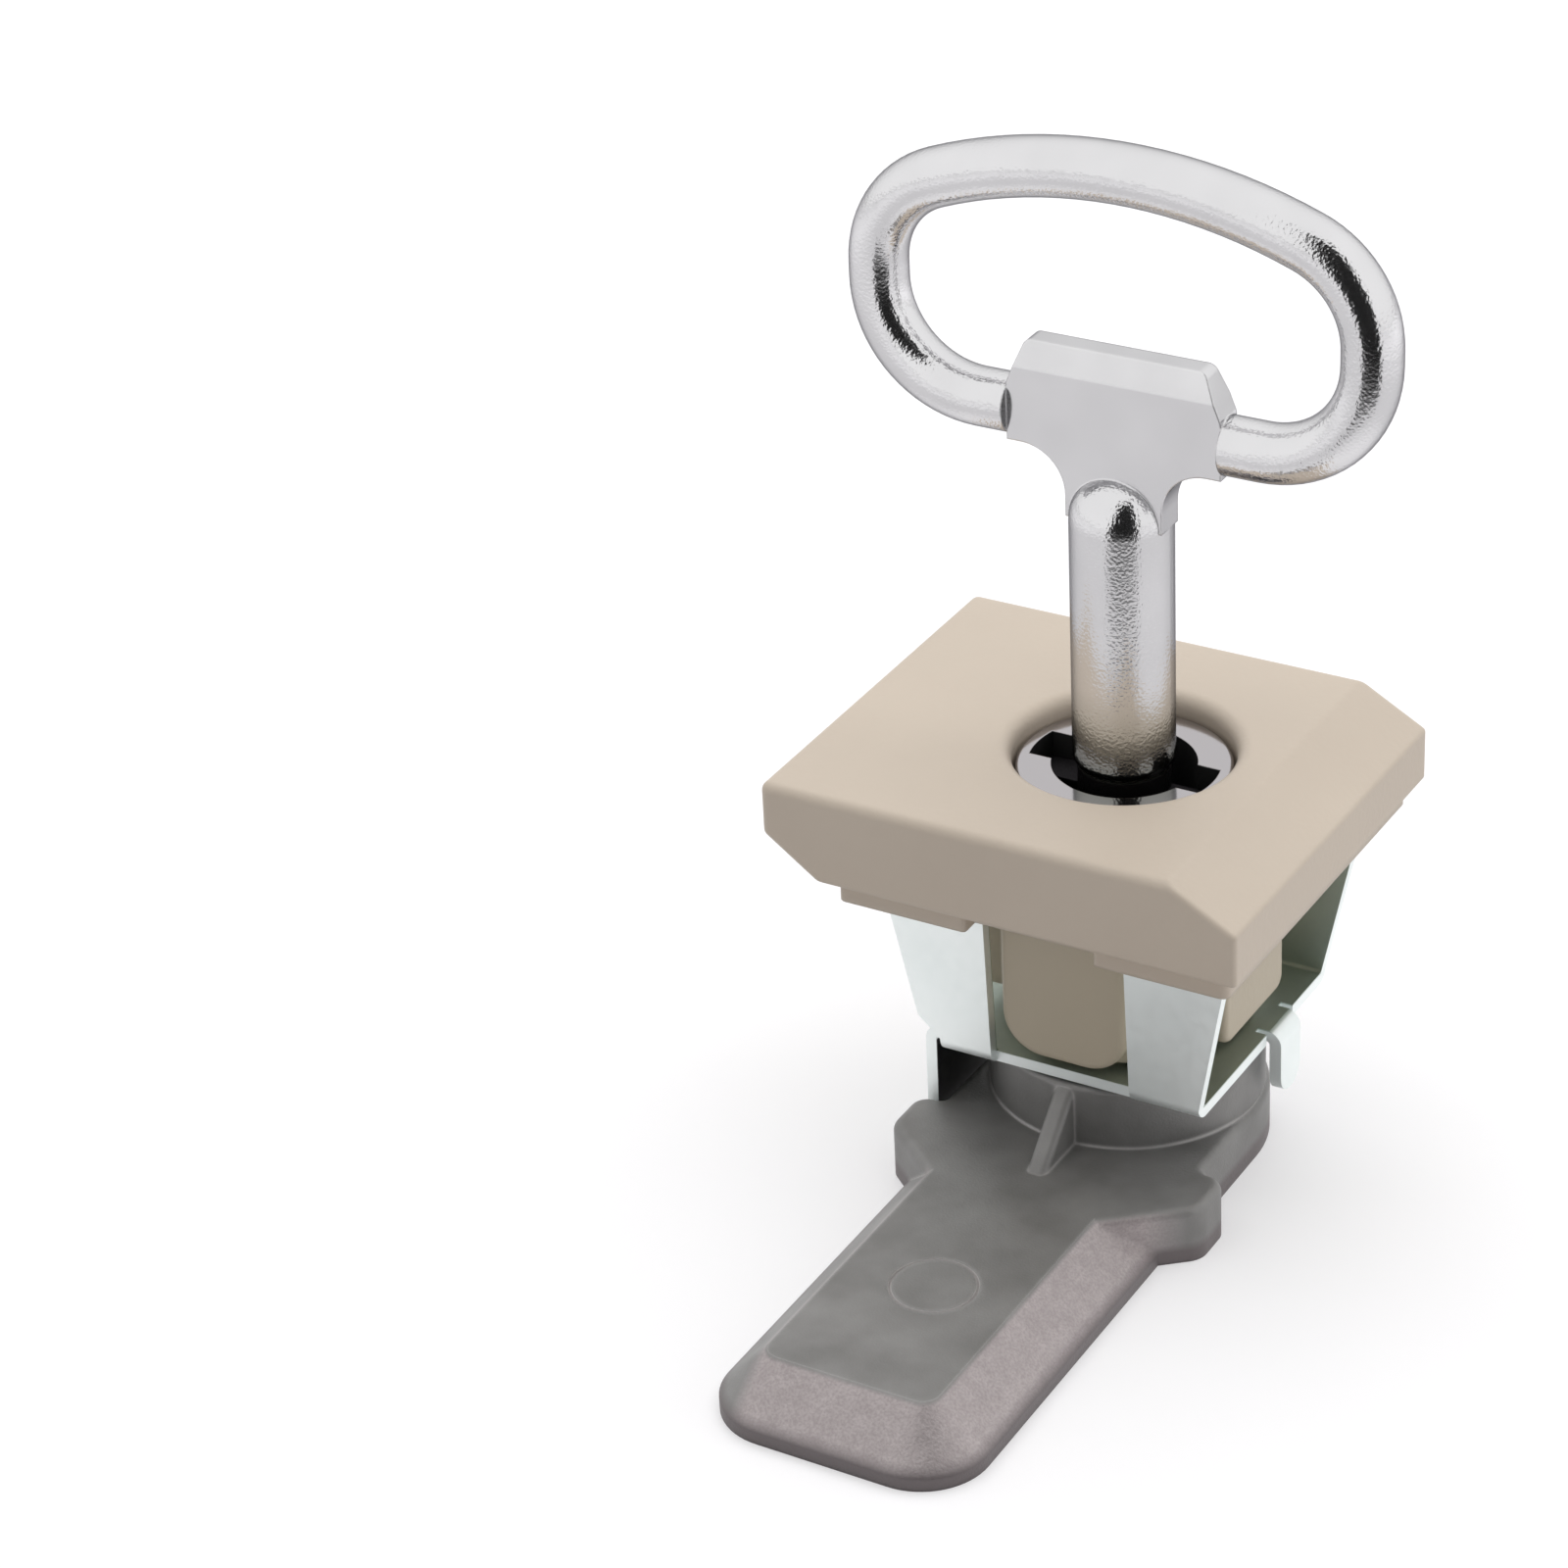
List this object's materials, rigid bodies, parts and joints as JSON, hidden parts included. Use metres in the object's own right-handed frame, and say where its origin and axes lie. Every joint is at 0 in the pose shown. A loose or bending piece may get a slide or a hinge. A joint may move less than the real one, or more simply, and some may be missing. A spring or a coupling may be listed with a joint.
{
  "type": "quarter-turn cabinet lock",
  "caption": "Snap-in quarter-turn lock with a square cover, sprung clip and flat cam, worked by an inserted double-bit key with an oval ring.",
  "frame": {"origin": "on the spindle's axis, in the plane of the flange's underside that lies on the door sheet", "axes": "+Z out of the door towards the key, -Y along the cam in its open position, -X towards the cover's undercut finger pull"},
  "size_m": [0.0537, 0.0809, 0.1009],
  "materials": {
    "cover_paint": "satin beige powder coat",
    "seal_rubber": "matt black",
    "spindle_chrome": "polished",
    "pin_steel": "bright turned steel",
    "clip_zinc_plate": "bright zinc plate",
    "spring_steel": "dark phosphated spring steel",
    "washer_plastic": "natural white",
    "cam_raw_zinc": "raw die-cast zinc, blasted bevels",
    "key_satin_chrome": "satin over a cast surface"
  },
  "bodies": {
    "housing": {"cover_housing": "cover_paint", "door_seal": "seal_rubber", "spring_clip": "clip_zinc_plate", "retaining_ring": "spring_steel"},
    "spindle": {"spindle": "spindle_chrome", "centre_pin": "pin_steel", "spindle_o_ring": "seal_rubber", "thrust_washer": "washer_plastic", "cam": "cam_raw_zinc", "cam_washer": "clip_zinc_plate", "spring_washer": "spring_steel", "cam_screw": "clip_zinc_plate"},
    "key": {"key": "key_satin_chrome"}
  },
  "joints": [
    {"name": "spindle_turn", "type": "hinge", "parent": "housing", "child": "spindle", "pos_m": [0, 0, 0], "axis": [0, 0, 1], "range_deg": [0, 90]},
    {"name": "key_withdraw", "type": "slide", "parent": "spindle", "child": "key", "axis": [0, 0, 1], "range_m": [0, 0.012]}
  ]
}
